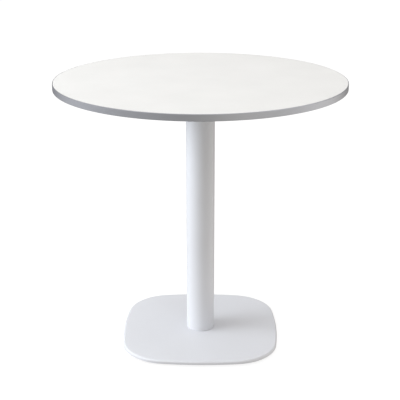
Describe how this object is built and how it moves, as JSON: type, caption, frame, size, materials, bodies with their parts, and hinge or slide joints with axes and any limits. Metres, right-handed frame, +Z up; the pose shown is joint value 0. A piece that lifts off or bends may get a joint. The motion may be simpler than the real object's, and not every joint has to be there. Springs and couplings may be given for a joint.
{
  "type": "bistro table",
  "caption": "Round pedestal bistro table: thin laminated top with a grey edge band, slim round column, flat rounded-square base plate and screw glides for levelling.",
  "frame": {"origin": "on the floor, under the middle of the column, tabletop and base plate", "axes": "+Z up along the column; -Y is the front; +X is to the right seen from the front, along one pair of the base plate's sides"},
  "size_m": [0.8, 0.8, 0.76],
  "materials": {
    "white_laminate": "satin high-pressure laminate with a fine even texture",
    "backing_sheet": "matt balancing laminate",
    "particle_board": "raw three-layer particle board",
    "grey_edge_band": "satin metallic grey plastic edge band, like brushed aluminium",
    "white_powder_coat": "satin powder coat with slight orange peel",
    "bare_steel": "turned mild steel, uncoated inside the column",
    "zinc_plated_steel": "bright zinc plating",
    "dark_nylon": "moulded nylon, matt"
  },
  "bodies": {
    "table": {"tabletop_core": "particle_board", "tabletop_laminate": "white_laminate", "tabletop_backing": "backing_sheet", "tabletop_edge_band": "grey_edge_band", "insert_nuts": "zinc_plated_steel", "mounting_washers": "zinc_plated_steel", "mounting_screws": "zinc_plated_steel", "mounting_plate": "white_powder_coat", "top_plug_screws": "zinc_plated_steel", "column_tube": "white_powder_coat", "column_top_plug": "bare_steel", "column_top_weld": "bare_steel", "column_bottom_plug": "bare_steel", "column_bottom_weld": "bare_steel", "base_plate": "white_powder_coat", "base_screws": "zinc_plated_steel"},
    "pad_front_left": {"glide_pad_front_left": "dark_nylon"},
    "stud_front_left": {"glide_stud_front_left": "zinc_plated_steel"},
    "pad_front_right": {"glide_pad_front_right": "dark_nylon"},
    "stud_front_right": {"glide_stud_front_right": "zinc_plated_steel"},
    "pad_back_left": {"glide_pad_back_left": "dark_nylon"},
    "stud_back_left": {"glide_stud_back_left": "zinc_plated_steel"},
    "pad_back_right": {"glide_pad_back_right": "dark_nylon"},
    "stud_back_right": {"glide_stud_back_right": "zinc_plated_steel"}
  },
  "joints": [
    {"name": "pad_front_left_height", "type": "slide", "parent": "table", "child": "pad_front_left", "axis": [0, 0, -1], "range_m": [0, 0.0041]},
    {"name": "stud_front_left_turn", "type": "hinge", "parent": "pad_front_left", "child": "stud_front_left", "pos_m": [-0.158, -0.158, 0.004], "axis": [0, 0, -1], "range_deg": [0, 1152]},
    {"name": "pad_front_right_height", "type": "slide", "parent": "table", "child": "pad_front_right", "axis": [0, 0, -1], "range_m": [0, 0.0041]},
    {"name": "stud_front_right_turn", "type": "hinge", "parent": "pad_front_right", "child": "stud_front_right", "pos_m": [0.158, -0.158, 0.004], "axis": [0, 0, -1], "range_deg": [0, 1152]},
    {"name": "pad_back_left_height", "type": "slide", "parent": "table", "child": "pad_back_left", "axis": [0, 0, -1], "range_m": [0, 0.0041]},
    {"name": "stud_back_left_turn", "type": "hinge", "parent": "pad_back_left", "child": "stud_back_left", "pos_m": [-0.158, 0.158, 0.004], "axis": [0, 0, -1], "range_deg": [0, 1152]},
    {"name": "pad_back_right_height", "type": "slide", "parent": "table", "child": "pad_back_right", "axis": [0, 0, -1], "range_m": [0, 0.0041]},
    {"name": "stud_back_right_turn", "type": "hinge", "parent": "pad_back_right", "child": "stud_back_right", "pos_m": [0.158, 0.158, 0.004], "axis": [0, 0, -1], "range_deg": [0, 1152]}
  ],
  "couplings": [
    {"joint": "pad_front_left_height", "follows": "stud_front_left_turn", "m_per_rad": 0.00019894},
    {"joint": "pad_front_right_height", "follows": "stud_front_right_turn", "m_per_rad": 0.00019894},
    {"joint": "pad_back_left_height", "follows": "stud_back_left_turn", "m_per_rad": 0.00019894},
    {"joint": "pad_back_right_height", "follows": "stud_back_right_turn", "m_per_rad": 0.00019894}
  ]
}
